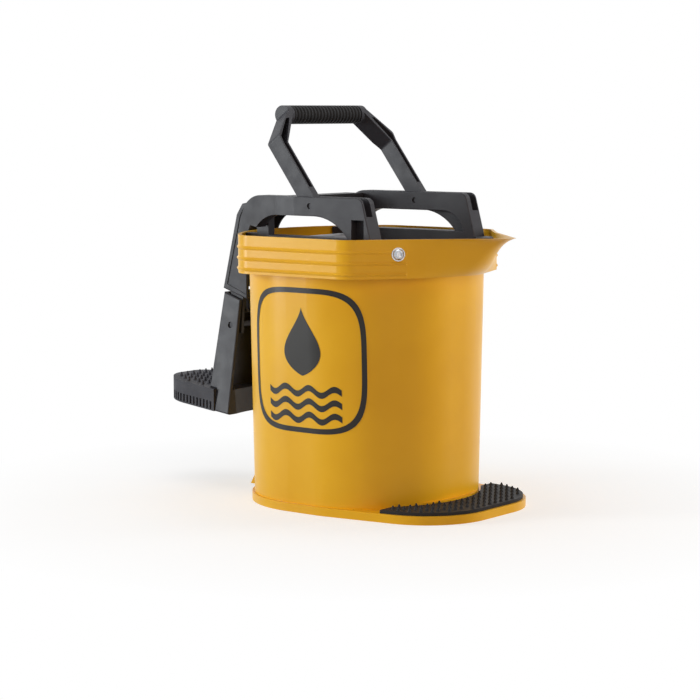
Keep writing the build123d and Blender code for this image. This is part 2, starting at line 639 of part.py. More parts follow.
def lever_hood():
    """Upper half of the lever: cross beam, roller arms, hood and the tongues for the pedal leg."""
    hood = round_sides(slab(hood_outline(), -HOOD_HALF, HOOD_HALF), SHELL_EDGE)
    hood -= slab(hood_inside(), -HOOD_HALF + SHELL, HOOD_HALF - SHELL)
    front, rear = HINGE_X + LEVER_ARM_WIDTH / 2, HINGE_X - LEVER_ARM_WIDTH / 2
    beam = [(front, HINGE_Z), (front, HINGE_Z + BEAM_RISE), (rear, HINGE_Z + BEAM_RISE), (rear, HINGE_Z)]
    hood += slab(beam, -LEVER_OUTER_Y, LEVER_OUTER_Y)
    pin_x, pin_z = PEDAL_PIN_X, PEDAL_PIN_Z
    half = TONGUE_HALF
    lean = LEG_LEAN_REAR
    root_z = lip_z(pin_x) + 3 * SHELL
    tongue = [
        (pin_x - half, pin_z - half),
        (pin_x + half, pin_z - half),
        (pin_x + half + (root_z - pin_z) * lean, root_z),
        (pin_x - half + (root_z - pin_z) * lean, root_z),
    ]
    root = [tongue[3], tongue[2], (tongue[2][0], root_z + SHELL), (tongue[3][0], root_z + SHELL)]
    arm_low = REAR_ROLLER_Z - AXLE_RADIUS - SHELL
    arm = [
        (HINGE_X + LEVER_ARM_FRONT, HINGE_Z + BEAM_RISE),
        (rear, HINGE_Z + BEAM_RISE),
        (REAR_ROLLER_X - LEVER_ARM_WIDTH / 2, arm_low),
        (REAR_ROLLER_X + LEVER_ARM_FRONT, arm_low),
        (REAR_ROLLER_X + LEVER_ARM_FRONT, REAR_ROLLER_Z + LEVER_ARM_FRONT),
        (HINGE_X + LEVER_ARM_FRONT, RIM_Z - ARM_KINK),
    ]
    wall_x = rear_arc_centre() - math.sqrt(
        (rear_arc_centre() - RIM_REAR_X - RIM_WALL) ** 2 - LEVER_OUTER_Y ** 2)
    stop_z = (HINGE_Z + REAR_ROLLER_Z) / 2 - STOP_HEIGHT
    stop = [
        (wall_x + STOP_GAP, stop_z),
        (HINGE_X, stop_z),
        (HINGE_X, stop_z + STOP_HEIGHT),
        (wall_x + STOP_GAP, stop_z + STOP_HEIGHT),
    ]
    inner = HOOD_HALF - SHELL - TONGUE_GAP
    for side in (-1, 1):
        low, high = sorted((side * inner, side * (inner - TONGUE_THICK)))
        hood += slab(tongue, low, high)
        low, high = sorted((side * (inner - TONGUE_THICK), side * HOOD_HALF))
        hood += slab(root, low, high)
        low, high = sorted((side * LEVER_INNER_Y, side * LEVER_OUTER_Y))
        hood += slab(arm, low, high) + slab(stop, low, high)
        low, high = sorted((side * HOOD_HALF, side * (HOOD_HALF - CHEEK_RECESS)))
        hood -= slab(cheek_panel(), low, high)
    hood -= rod(pin_x, pin_z, PEDAL_PIN_RADIUS + RUNNING, -HOOD_HALF, HOOD_HALF)
    hood -= rod(HINGE_X, HINGE_Z, HINGE_RADIUS + RUNNING, LEVER_INNER_Y - 1, LEVER_OUTER_Y + 1)
    hood -= rod(HINGE_X, HINGE_Z, HINGE_RADIUS + RUNNING, -LEVER_OUTER_Y - 1, -LEVER_INNER_Y + 1)
    hood -= rod(REAR_ROLLER_X, REAR_ROLLER_Z, AXLE_RADIUS + RUNNING, -LEVER_OUTER_Y - 1, LEVER_OUTER_Y + 1)
    return hood


def foot_z(x, rise=0.0):
    """Underside of the tilted foot plate, moved up by rise."""
    return LEG_FOOT_Z + (LEG_FOOT_X - x) * TILT + rise


def leg_rear(z):
    """Rear edge of the pedal leg."""
    top = lip_z(LIP_REAR[0]) - LIP_GAP
    return LIP_REAR[0] + LEG_STEP - (top - z) * LEG_LEAN_REAR


def leg_front_x(z):
    """Front edge of the pedal leg."""
    return LEG_FOOT_X + (z - LEG_FOOT_Z) * LEG_LEAN_FRONT


def leg_half(z):
    """Half width of the pedal leg at height z."""
    rise = LIP_REAR[1] - LIP_GAP - LEG_FOOT_Z
    return LEG_FOOT_HALF - (z - LEG_FOOT_Z) / rise * (LEG_FOOT_HALF - HOOD_HALF)


def leg_taper(inset):
    """All space between the pedal leg's two leaning sides, moved inwards by inset."""
    low, high = leg_half(0) - inset, leg_half(RIM_Z) - inset
    sides = [(-low, 0), (low, 0), (high, RIM_Z), (-high, RIM_Z)]
    face = Plane.YZ * make_face(Polyline(*sides, close=True))
    return extrude(Pos(2 * BOOT_REAR_X, 0, 0) * face, -2 * BOOT_REAR_X, dir=(1, 0, 0))


def pedal_leg():
    """Lower half of the lever: hollow leg, open to the bucket, with the foot plate behind."""
    top_rear = leg_rear(LIP_REAR[1])
    top_front_z = lip_z(leg_front_x(LIP_REAR[1])) - LIP_GAP
    knee_z = foot_z(BOOT_FRONT_X, FOOT_DEPTH)
    cheek = [
        (top_rear, lip_z(top_rear) - LIP_GAP),
        (leg_rear(knee_z), foot_z(leg_rear(knee_z), FOOT_DEPTH)),
        (BOOT_FRONT_X, knee_z),
        (BOOT_FRONT_X, foot_z(BOOT_FRONT_X)),
        (LEG_FOOT_X, LEG_FOOT_Z),
        (leg_front_x(top_front_z), top_front_z),
    ]
    leg = round_sides(slab(cheek, -BOOT_HALF, BOOT_HALF) & leg_taper(0.0), SHELL_EDGE)
    floor_z = foot_z(BOOT_FRONT_X, FOOT_DEPTH)
    hollow = [
        (top_rear + SHELL, LIP_REAR[1] + SHELL),
        (leg_rear(floor_z) + SHELL, floor_z),
        (LEG_FOOT_X + FOOT_DEPTH, floor_z),
        (LEG_FOOT_X + 2 * FOOT_DEPTH, LIP_REAR[1] + SHELL),
    ]
    leg -= slab(hollow, -BOOT_HALF, BOOT_HALF) & leg_taper(SHELL)
    leg += slab(core_outline(0.0), -BOOT_HALF, BOOT_HALF) & prism(core_plan(0.0), 0, RIM_Z)
    leg += spring_post()
    leg -= rod(PEDAL_PIN_X, PEDAL_PIN_Z, PEDAL_PIN_RADIUS + RUNNING, -BOOT_HALF, BOOT_HALF)
    bow = Pos(BODY_X, 0, LEG_FOOT_Z) * Cylinder(BODY_X - LEG_FOOT_X + SHELL, 4 * FOOT_DEPTH)
    leg -= bow & Box(4 * RIM_Z, 2 * (LEG_FOOT_HALF - 2 * SHELL), 4 * RIM_Z)
    return leg


def core_outline(out):
    """Foot plate inside the boot, moved outwards by out."""
    front = BOOT_FRONT_X + SHELL
    rear = BOOT_REAR_X + BOOT_WALL - out
    return [
        (front, foot_z(front, BOOT_WALL - out)),
        (front, foot_z(front, FOOT_DEPTH - BOOT_WALL + out)),
        (rear, foot_z(rear, FOOT_DEPTH - BOOT_WALL + out)),
        (rear, foot_z(rear, BOOT_WALL - out)),
    ]


def boot_plan(inset):
    """Plan of the boot: straight sides and a round rear."""
    length = 2 * (BOOT_FRONT_X - BOOT_REAR_X)
    plan = RectangleRounded(length - 2 * inset, 2 * (BOOT_HALF - inset), BOOT_CORNER - inset)
    return Pos(BOOT_FRONT_X, 0) * plan


def core_plan(out):
    """Plan of the foot plate, moved outwards by out."""
    return boot_plan(BOOT_WALL - out)


def pedal_boot():
    """Rubber boot over the foot plate, with studs on top and a comb of slots along its sides."""
    outline = [
        (BOOT_FRONT_X, foot_z(BOOT_FRONT_X)),
        (BOOT_FRONT_X, foot_z(BOOT_FRONT_X, FOOT_DEPTH)),
        (BOOT_REAR_X, foot_z(BOOT_REAR_X, FOOT_DEPTH)),
        (BOOT_REAR_X, foot_z(BOOT_REAR_X)),
    ]
    boot = slab(outline, -BOOT_HALF, BOOT_HALF) & prism(boot_plan(0.0), 0, RIM_Z)
    boot -= slab(core_outline(RUNNING), -BOOT_HALF, BOOT_HALF) & prism(core_plan(RUNNING), 0, RIM_Z)
    slots = []
    for index in range(COMB_SLOTS):
        x = BOOT_FRONT_X - COMB_PITCH * (index + 1)
        edge = BOOT_HALF
        bend = BOOT_REAR_X + BOOT_CORNER - x
        if bend > 0:
            edge = BOOT_HALF - BOOT_CORNER + math.sqrt(max(BOOT_CORNER ** 2 - bend ** 2, 0))
        slot = Box(COMB_WIDTH, 2 * COMB_DEPTH, COMB_HEIGHT)
        for side in (-1, 1):
            slots.append(Pos(x, side * edge, foot_z(x, COMB_HEIGHT / 2 + COMB_DEPTH)) * slot)
    boot -= slots
    studs = []
    columns = int(2 * BOOT_HALF / STUD_PITCH)
    first_x = leg_rear(foot_z(BOOT_FRONT_X, FOOT_DEPTH)) - 2 * STUD_RADIUS
    for row in range(int((first_x - BOOT_REAR_X) / STUD_PITCH) + 1):
        for column in range(columns + 1):
            x = first_x - STUD_PITCH * row
            y = STUD_PITCH * (column - columns / 2 + 0.5 * (row % 2))
            bend = max(BOOT_REAR_X + BOOT_CORNER - x, 0)
            turn = max(abs(y) - BOOT_HALF + BOOT_CORNER, 0)
            if math.hypot(bend, turn) < BOOT_CORNER - 2 * STUD_RADIUS:
                base = foot_z(x, FOOT_DEPTH) - STUD_RADIUS * TILT
                stud = Cone(STUD_RADIUS, STUD_TIP, BOOT_STUD_HEIGHT)
                studs.append(Pos(x, y, base + BOOT_STUD_HEIGHT / 2) * stud)
    return boot + studs


def spring_ends():
    """X of the two faces that the spring stands on."""
    share = SPRING_Z / BAND_Z
    wall = BODY_X - FOOT_HALF_LENGTH - share * (TOP_HALF_LENGTH - FOOT_HALF_LENGTH)
    seat = leg_rear(SPRING_Z) + SHELL + SPIGOT_LENGTH
    return seat, wall - WALL


def x_rod(radius, x_low, x_high):
    """Cylinder along X on the spring's axis."""
    return Pos((x_low + x_high) / 2, 0, SPRING_Z) * Rot(0, 90, 0) * Cylinder(radius, x_high - x_low)


def spring_spigot():
    """Seat and spigot on the bucket's rear wall."""
    _, wall = spring_ends()
    seat = x_rod(SPRING_RADIUS + 2 * SPRING_WIRE, wall, wall + 2 * WALL)
    return seat + x_rod(SPIGOT_RADIUS, wall - SPIGOT_LENGTH, wall)


def spring_post():
    """Seat and spigot inside the pedal leg."""
    seat, _ = spring_ends()
    post = x_rod(SPRING_RADIUS + 2 * SPRING_WIRE, seat - SPIGOT_LENGTH - SHELL / 2, seat)
    return post + x_rod(SPIGOT_RADIUS, seat, seat + SPIGOT_LENGTH)


def return_spring():
    """Compression spring: one round wire wound on arcs that follow the helix, two to each half turn."""
    seat, wall = spring_ends()
    start = seat + SPRING_GAP + SPRING_WIRE
    pitch = (wall - SPRING_GAP - SPRING_WIRE - start) / SPRING_TURNS
    slope = pitch / (2 * math.pi)

    def place(turn):
        across, up = SPRING_RADIUS * math.cos(turn), SPRING_RADIUS * math.sin(turn)
        return Vector(start + slope * turn, across, SPRING_Z + up)

    def heading(turn):
        return Vector(slope, -SPRING_RADIUS * math.sin(turn), SPRING_RADIUS * math.cos(turn)).normalized()

    edges = []
    for index in range(2 * SPRING_TURNS):
        first, last = math.pi * index, math.pi * (index + 1)
        across = place(last) - place(first)
        both = heading(first) + heading(last)
        open_up = 2 * (1 - heading(first).dot(heading(last)))
        lean = across.dot(both)
        reach = (math.sqrt(lean ** 2 + open_up * across.dot(across)) - lean) / open_up
        middle_in = place(first) + heading(first) * reach
        middle_out = place(last) - heading(last) * reach
        joint = (middle_in + middle_out) * 0.5
        edges.append(Edge.make_tangent_arc(place(first), heading(first), joint))
        edges.append(Edge.make_tangent_arc(joint, (middle_out - joint).normalized(), place(last)))
    print("return spring: least gap between turns", round(pitch - 2 * SPRING_WIRE, 2), "mm")
    section = Plane(origin=place(0), z_dir=heading(0)) * Circle(SPRING_WIRE)
    return sweep(section, path=Wire(edges))


def on_handle(shape):
    """Move a piece from the handle's own frame, upright over the origin, to its rest."""
    return Pos(0, 0, PIVOT_Z) * Rot(0, -HANDLE_LEAN, 0) * shape


def handle():
    """Carry yoke: two channel legs that bend inwards to round bosses, and the bar that holds the grip."""
    mid, half = HANDLE_Y, HANDLE_THICK / 2
    eye = HANDLE_LEG / 2
    boss_in = BAR_HALF - HANDLE_THICK
    strip = [
        (mid - half, 0),
        (mid + half, 0),
        (mid + half, ELBOW_LENGTH),
        (BAR_HALF, GRIP_LENGTH),
        (boss_in, GRIP_LENGTH),
        (mid - half, ELBOW_LENGTH - HANDLE_THICK),
    ]
    side = [
        (-eye, 0),
        (-eye, ELBOW_LENGTH),
        (GRIP_FORWARD - BOSS_RADIUS, GRIP_LENGTH),
        (GRIP_FORWARD + BOSS_RADIUS, GRIP_LENGTH),
        (eye, ELBOW_LENGTH - HANDLE_THICK),
        (eye, 0),
    ]
    width = GRIP_FORWARD + BOSS_RADIUS
    plan = make_face(Polyline(*strip, close=True))
    corners = [corner for corner in plan.vertices() if corner.X > BAR_HALF and corner.Y > HANDLE_LEG]
    plan = fillet(corners, ELBOW_ROUND)
    leg = extrude(Pos(-width, 0, 0) * (Plane.YZ * plan), 2 * width, dir=(1, 0, 0))
    leg &= slab(side, 0, FRAME_OUTER_Y)
    leg += rod(0, 0, eye, mid - half, mid + half)
    leg += rod(GRIP_FORWARD, GRIP_LENGTH, BOSS_RADIUS, boss_in, BAR_HALF)
    end = GRIP_LENGTH - BOSS_RADIUS
    share = (end - ELBOW_LENGTH) / (GRIP_LENGTH - ELBOW_LENGTH)
    end_y = mid + half + share * (BAR_HALF - mid - half)
    channel = [
        (mid - half + HANDLE_WALL, HANDLE_LEG),
        (mid + half - HANDLE_WALL, HANDLE_LEG),
        (mid + half - HANDLE_WALL, ELBOW_LENGTH - HANDLE_WALL),
        (end_y - HANDLE_WALL, end),
        (end_y - HANDLE_THICK + HANDLE_WALL, end),
        (mid - half + HANDLE_WALL, ELBOW_LENGTH - HANDLE_THICK),
    ]
    cut = make_face(Polyline(*channel, close=True))
    leg -= extrude(Pos(CHANNEL_FLOOR - eye, 0, 0) * (Plane.YZ * cut), 2 * width, dir=(1, 0, 0))
    yoke = leg + mirror(leg, about=Plane.XZ)
    yoke += rod(GRIP_FORWARD, GRIP_LENGTH, BAR_RADIUS, -BAR_HALF, BAR_HALF)
    yoke -= rod(0, 0, PIN_RADIUS + RUNNING, -FRAME_OUTER_Y, FRAME_OUTER_Y)
    return on_handle(yoke)


def grip():
    """Ribbed sleeve on the bar: ribs and grooves turned about the bar's axis."""
    pitch = 2 * GRIP_HALF / GRIP_RIBS
    bore = BAR_RADIUS + RUNNING
    groove = GRIP_RADIUS - GRIP_GROOVE
    points = [(bore, -GRIP_HALF)]
    for rib in range(GRIP_RIBS):
        low = -GRIP_HALF + rib * pitch
        full, end, foot = (low + share * pitch for share in RIB_SHARES)
        points += [(groove, low), (GRIP_RADIUS, full), (GRIP_RADIUS, end), (groove, foot)]
    points += [(groove, GRIP_HALF), (bore, GRIP_HALF)]
    profile = make_face(Polyline(*points, close=True))
    sleeve = revolve(profile, Axis.Y)
    return on_handle(Pos(GRIP_FORWARD, 0, GRIP_LENGTH) * sleeve)


def handle_pins():
    """Two pins across the slots, a little below the arm's faces."""
    return both_sides(rod(0, PIVOT_Z, PIN_RADIUS, FRAME_INNER_Y + PIN_RECESS, FRAME_OUTER_Y - PIN_RECESS))


def lever_hinge_pins():
    """Two pins fixed in the lever arms, turning in the side frames' bushes."""
    end = FRAME_INNER_Y + HINGE_DEPTH - SIDE_PLAY
    return both_sides(rod(HINGE_X, HINGE_Z, HINGE_RADIUS, LEVER_INNER_Y, end))


def lever_hinge_bushes():
    """Two bushes in the knuckles of the side frames."""
    end = FRAME_INNER_Y + HINGE_DEPTH
    return both_sides(pipe(HINGE_X, HINGE_Z, HINGE_BUSH, HINGE_RADIUS + RUNNING, FRAME_INNER_Y, end))


def pedal_pin():
    """Rod that holds the pedal leg on the hood's tongues."""
    end = leg_half(PEDAL_PIN_Z) - PIN_RECESS
    return rod(PEDAL_PIN_X, PEDAL_PIN_Z, PEDAL_PIN_RADIUS, -end, end)


def fixing_screw(side):
    """Dome-head screw through the angled rim face into the side frame's lug."""
    shank = Pos(0, 0, WASHER_THICK - SCREW_LENGTH / 2) * Cylinder(SCREW_RADIUS, SCREW_LENGTH)
    ball = (HEAD_RADIUS ** 2 + HEAD_HEIGHT ** 2) / (2 * HEAD_HEIGHT)
    dome = Pos(0, 0, WASHER_THICK + HEAD_HEIGHT - ball) * Sphere(ball)
    dome &= Pos(0, 0, WASHER_THICK + HEAD_HEIGHT / 2) * Cylinder(HEAD_RADIUS, HEAD_HEIGHT)
    hexagon = Pos(0, 0, WASHER_THICK + HEAD_HEIGHT - SOCKET_DEPTH) * RegularPolygon(SOCKET_RADIUS, 6)
    dome -= extrude(hexagon, HEAD_HEIGHT, dir=(0, 0, 1))
    return screw_frame(side) * (shank + dome)


def fixing_washer(side):
    """Flat washer under the screw's head."""
    ring = Cylinder(WASHER_RADIUS, WASHER_THICK) - Cylinder(SCREW_RADIUS + RUNNING, WASHER_THICK)
    return screw_frame(side) * Pos(0, 0, WASHER_THICK / 2) * ring


def frame_tie():
    """Steel rod that holds the side frames apart."""
    end = FRAME_OUTER_Y + NUT_THICK + TIE_RADIUS / 4
    return rod(TIE_X, TIE_Z, TIE_RADIUS, -end, end)


def tie_nuts():
    """Two hexagon nuts outside the side frames."""
    hexagon = Plane.XZ * RegularPolygon(NUT_RADIUS, 6)
    nut = extrude(Pos(TIE_X, FRAME_OUTER_Y, TIE_Z) * hexagon, NUT_THICK, dir=(0, 1, 0))
    nut -= rod(TIE_X, TIE_Z, TIE_RADIUS + RUNNING, FRAME_OUTER_Y, FRAME_OUTER_Y + NUT_THICK)
    return both_sides(nut)


def write(name, shape):
    """Write one node."""
    export_step(shape, "parts/" + name + ".step")


def main():
    os.makedirs("parts", exist_ok=True)
    far_frame = side_frame_far()
    write("bucket", bucket())
    write("step_tread", step_tread())
    write("side_frame_far", far_frame)
    write("side_frame_near", mirror(far_frame, about=Plane.XZ))
    write("front_roller", roller(FRONT_ROLLER_X, FRONT_ROLLER_Z))
    write("front_roller_bushes", roller_bushes(FRONT_ROLLER_X, FRONT_ROLLER_Z, FRAME_INNER_Y))
    write("front_roller_axle", axle(FRONT_ROLLER_X, FRONT_ROLLER_Z, FRAME_OUTER_Y))
    write("rear_roller", roller(REAR_ROLLER_X, REAR_ROLLER_Z))
    write("rear_roller_bushes", roller_bushes(REAR_ROLLER_X, REAR_ROLLER_Z, LEVER_INNER_Y))
    write("rear_roller_axle", axle(REAR_ROLLER_X, REAR_ROLLER_Z, LEVER_OUTER_Y))
    clips = axle_clips()
    write("front_axle_clips", Compound(children=clips[:2]))
    write("rear_axle_clips", Compound(children=clips[2:]))
    write("lever_hood", lever_hood())
    write("lever_hinge_pins", lever_hinge_pins())
    write("lever_hinge_bushes", lever_hinge_bushes())
    write("pedal_leg", pedal_leg())
    write("pedal_pin", pedal_pin())
    write("pedal_boot", pedal_boot())
    write("return_spring", return_spring())
    write("handle", handle())
    write("grip", grip())
    write("handle_pins", handle_pins())
    write("fixing_screws", Compound(children=[fixing_screw(-1), fixing_screw(1)]))
    write("fixing_washers", Compound(children=[fixing_washer(-1), fixing_washer(1)]))
    write("frame_tie", frame_tie())
    write("tie_nuts", tie_nuts())


main()
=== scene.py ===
"""Looks of the wringer bucket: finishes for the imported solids, soft studio light and the camera."""
import json

import bpy
import numpy as np
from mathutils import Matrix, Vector


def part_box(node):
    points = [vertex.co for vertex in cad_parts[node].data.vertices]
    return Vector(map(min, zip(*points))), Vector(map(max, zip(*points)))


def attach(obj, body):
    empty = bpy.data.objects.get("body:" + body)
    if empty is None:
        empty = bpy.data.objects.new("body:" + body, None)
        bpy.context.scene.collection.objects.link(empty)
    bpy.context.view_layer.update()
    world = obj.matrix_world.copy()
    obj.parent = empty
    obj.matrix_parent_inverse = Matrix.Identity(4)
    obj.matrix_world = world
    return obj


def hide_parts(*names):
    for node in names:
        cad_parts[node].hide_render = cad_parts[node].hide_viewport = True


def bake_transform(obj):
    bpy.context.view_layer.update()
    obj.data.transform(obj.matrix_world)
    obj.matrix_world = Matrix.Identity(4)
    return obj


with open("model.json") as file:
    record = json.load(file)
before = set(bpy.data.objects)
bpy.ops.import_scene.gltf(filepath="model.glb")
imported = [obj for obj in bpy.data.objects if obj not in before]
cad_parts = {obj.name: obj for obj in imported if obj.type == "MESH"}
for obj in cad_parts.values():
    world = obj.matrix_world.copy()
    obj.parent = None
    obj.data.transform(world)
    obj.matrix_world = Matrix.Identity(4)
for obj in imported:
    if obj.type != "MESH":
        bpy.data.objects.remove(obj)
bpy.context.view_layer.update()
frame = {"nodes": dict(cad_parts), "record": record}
nodes = frame["nodes"]


def linear(red, green, blue):
    """Linear colour of an 8-bit display colour."""
    part = np.array([red, green, blue]) / 255.0
    return tuple(np.where(part <= 0.04045, part / 12.92, ((part + 0.055) / 1.055) ** 2.4))


def material(name, rough, specular=0.5, metallic=0.0):
    """A new material with its own shader; returns the material, its node tree and the shader."""
    made = bpy.data.materials.new(name)
    made.use_nodes = True
    shader = made.node_tree.nodes["Principled BSDF"]
    shader.inputs["Roughness"].default_value = rough
    shader.inputs["Metallic"].default_value = metallic
    shader.inputs["Specular IOR Level"].default_value = specular
    return made, made.node_tree, shader


def noise(tree, scale, detail, stretch=(1, 1, 1)):
    """Noise on Object coordinates, stretched per axis; scale is in waves per metre."""
    place = tree.nodes.new("ShaderNodeTexCoord")
    turn = tree.nodes.new("ShaderNodeMapping")
    turn.inputs["Scale"].default_value = stretch
    grain = tree.nodes.new("ShaderNodeTexNoise")
    grain.inputs["Scale"].default_value = scale
    grain.inputs["Detail"].default_value = detail
    tree.links.new(place.outputs["Object"], turn.inputs["Vector"])
    tree.links.new(turn.outputs["Vector"], grain.inputs["Vector"])
    return grain.outputs["Fac"]


def ramp(tree, source, stops):
    """Colour ramp over a grey source; stops are (position, colour)."""
    made = tree.nodes.new("ShaderNodeValToRGB")
    keys = made.color_ramp.elements
    while len(keys) < len(stops):
        keys.new(0.5)
    for key, (position, colour) in zip(keys, stops):
        key.position = position
        key.color = (*colour, 1.0)
    tree.links.new(source, made.inputs["Fac"])
    return made.outputs["Color"]


def spread(tree, source, low, high, start=0.3, end=0.7):
    """Grey source stretched from start..end to low..high."""
    made = tree.nodes.new("ShaderNodeMapRange")
    made.inputs["From Min"].default_value = start
    made.inputs["From Max"].default_value = end
    made.inputs["To Min"].default_value = low
    made.inputs["To Max"].default_value = high
    tree.links.new(source, made.inputs["Value"])
    return made.outputs["Result"]


def bumps(tree, shader, layers):
    """Bumps one over the other on the shader's normal; a layer is a grey source and its depth in metres."""
    last = None
    for source, depth in layers:
        made = tree.nodes.new("ShaderNodeBump")
        made.inputs["Distance"].default_value = depth
        tree.links.new(source, made.inputs["Height"])
        if last:
            tree.links.new(last, made.inputs["Normal"])
        last = made.outputs["Normal"]
    tree.links.new(last, shader.inputs["Normal"])


CLOUD_SCALE = 11.0           # waves per metre of a moulding's colour
STREAK_SCALE = 70.0          # and of its gloss
MARK_SCALE = 60.0            # of the marks on metal
MARK_STRETCH = (1, 8, 1)


def moulded(name, dark, light, rough, specular, wave, grain, draw=(1, 1, 1)):
    """Moulded plastic or rubber. Colour drifts in soft clouds, gloss in streaks along the draw,
    and the surface has long waves and a fine grain; wave and grain are (waves per metre, depth)."""
    made, tree, shader = material(name, rough[0], specular)
    cloud = noise(tree, CLOUD_SCALE, 4.0)
    tree.links.new(ramp(tree, cloud, [(0.35, dark), (0.65, light)]), shader.inputs["Base Color"])
    streak = noise(tree, STREAK_SCALE, 5.0, draw)
    tree.links.new(spread(tree, streak, rough[0], rough[1]), shader.inputs["Roughness"])
    bumps(tree, shader, [(noise(tree, wave[0], 2.0), wave[1]), (noise(tree, grain[0], 2.0), grain[1])])
    return made


yellow = moulded("yellow_plastic", linear(236, 177, 25), linear(243, 186, 31), (0.29, 0.37), 0.3,
                 (38.0, 0.00012), (1500.0, 0.000012), (1, 1, 0.12))
black = moulded("black_plastic", linear(42, 42, 47), linear(49, 49, 55), (0.42, 0.52), 0.28,
                (60.0, 0.00005), (2200.0, 0.00003))
rubber = moulded("black_rubber", linear(32, 32, 34), linear(41, 41, 43), (0.52, 0.66), 0.2,
                 (90.0, 0.00008), (2600.0, 0.00004))
grip_rubber = moulded("grip_rubber", linear(24, 24, 26), linear(32, 32, 34), (0.5, 0.62), 0.2,
                      (90.0, 0.00005), (2600.0, 0.00004))
boot_rubber = moulded("boot_rubber", linear(49, 49, 55), linear(58, 58, 64), (0.5, 0.64), 0.24,
                      (90.0, 0.00008), (2600.0, 0.00004))
grey = moulded("grey_plastic", linear(176, 183, 196), linear(192, 198, 208), (0.34, 0.46), 0.5,
               (50.0, 0.00005), (1400.0, 0.000012), (1, 0.1, 1))
white = moulded("white_plastic", linear(205, 205, 200), linear(220, 220, 216), (0.36, 0.46), 0.5,
                (60.0, 0.00004), (1500.0, 0.00001))


def drawn_metal(name, dark, light, rough):
    """Metal with fine marks round the Y axis: colour and gloss follow one noise that changes eight times
    as fast along Y as across it."""
    made, tree, shader = material(name, rough[0], metallic=1.0)
    marks = noise(tree, MARK_SCALE, 4.0, MARK_STRETCH)
    tree.links.new(ramp(tree, marks, [(0.3, dark), (0.7, light)]), shader.inputs["Base Color"])
    tree.links.new(spread(tree, marks, rough[0], rough[1]), shader.inputs["Roughness"])
    return made


steel = drawn_metal("zinc_steel", linear(160, 164, 170), linear(206, 208, 212), (0.2, 0.34))
oiled = drawn_metal("oiled_spring_steel", linear(62, 61, 60), linear(88, 86, 84), (0.34, 0.46))

finishes = {"yellow_plastic": yellow, "black_plastic": black, "black_rubber": rubber,
            "grey_plastic": grey, "white_plastic": white, "steel": steel}
own_finishes = {"grip": grip_rubber, "pedal_boot": boot_rubber}
for entry in frame["record"]["subparts"]:
    mesh = nodes[entry["node"]].data
    mesh.materials.clear()
    mesh.materials.append(own_finishes.get(entry["node"], finishes[entry["material_slot"]]))


def mesh_piece(name, points, faces, finish):
    """Object at the origin from an array of points and an array of faces, shaded smooth."""
    mesh = bpy.data.meshes.new(name)
    mesh.from_pydata(points.tolist(), [], faces.tolist())
    mesh.polygons.foreach_set("use_smooth", np.ones(len(faces), bool))
    mesh.materials.append(finish)
    mesh.update()
    piece = bpy.data.objects.new(name, mesh)
    bpy.context.collection.objects.link(piece)
    return piece


def tube_faces(rings, sides):
    """Quads of a tube of rings with sides points each; the two ends are closed by quads across the ring."""
    row, column = np.meshgrid(np.arange(rings - 1), np.arange(sides), indexing="ij")
    beside = (column + 1) % sides
    start, end = row * sides, (row + 1) * sides
    corners = [start + column, start + beside, end + beside, end + column]
    wall = np.stack(corners, axis=-1).reshape(-1, 4)
    half = np.arange(sides // 2 - 1)
    cap = np.stack([half, half + 1, sides - 2 - half, sides - 1 - half], axis=1)
    return np.concatenate([wall, cap[:, ::-1], cap + (rings - 1) * sides])


WIRE = 0.0012                # radius of the spring's wire
SPRING_TURNS = 8
TURN_RINGS = 48              # rings of points in a turn
WIRE_SIDES = 12
FLAT_TURN = 0.75             # share of a turn that lies flat at each end
FLAT_STEP = 1.9 * WIRE       # way along X of that share


def wound_spring():
    """Compression spring along X. The wire's middle is (x(t), R cos a, z + R sin a), a = 2 pi N t. x rises
    evenly over the middle turns, and only by the flat step over the flat share of a turn at each end. A
    circle of the wire's radius is carried along it on the axes 'out from the spring's axis' and 'along X'."""
    low, high = (np.array(corner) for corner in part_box("return_spring"))
    middle = (low + high) / 2
    radius = (high[1] - low[1]) / 2 - WIRE
    turns, sides, rings = SPRING_TURNS, WIRE_SIDES, SPRING_TURNS * TURN_RINGS + 1
    share = np.linspace(0.0, 1.0, rings)
    rise = np.clip((share * turns - FLAT_TURN) / (turns - 2 * FLAT_TURN), 0.0, 1.0)
    flat_start = np.minimum(share * turns, FLAT_TURN) / FLAT_TURN - 1
    flat_end = np.clip((share * turns - turns + FLAT_TURN) / FLAT_TURN, 0.0, 1.0)
    first, last = low[0] + WIRE + FLAT_STEP, high[0] - WIRE - FLAT_STEP
    along = first + (last - first) * rise + FLAT_STEP * (flat_start + flat_end)
    angle = 2 * np.pi * turns * share
    out = np.stack([np.zeros(rings), np.cos(angle), np.sin(angle)], axis=1)
    path = out * radius + np.stack([along, np.full(rings, middle[1]), np.full(rings, middle[2])], axis=1)
    turn = np.linspace(0, 2 * np.pi, sides, endpoint=False)
    across = out[:, None, :] * np.cos(turn)[None, :, None]
    across[:, :, 0] += np.sin(turn)[None, :]
    points = (path[:, None, :] + WIRE * across).reshape(-1, 3)
    piece = mesh_piece("wound_spring", points, tube_faces(rings, sides), oiled)
    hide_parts("return_spring")
    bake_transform(piece)


wound_spring()


WALL_HEIGHT = 0.250          # from the floor to the band
FOOT_PLAN = (0.1185, 0.1115, 0.100)      # half length, half width and corner radius at the floor
PLAN_GAIN = (0.0025, 0.0095, 0.008)      # what each gains up to the band
WALL_MIDDLE_X = -0.003


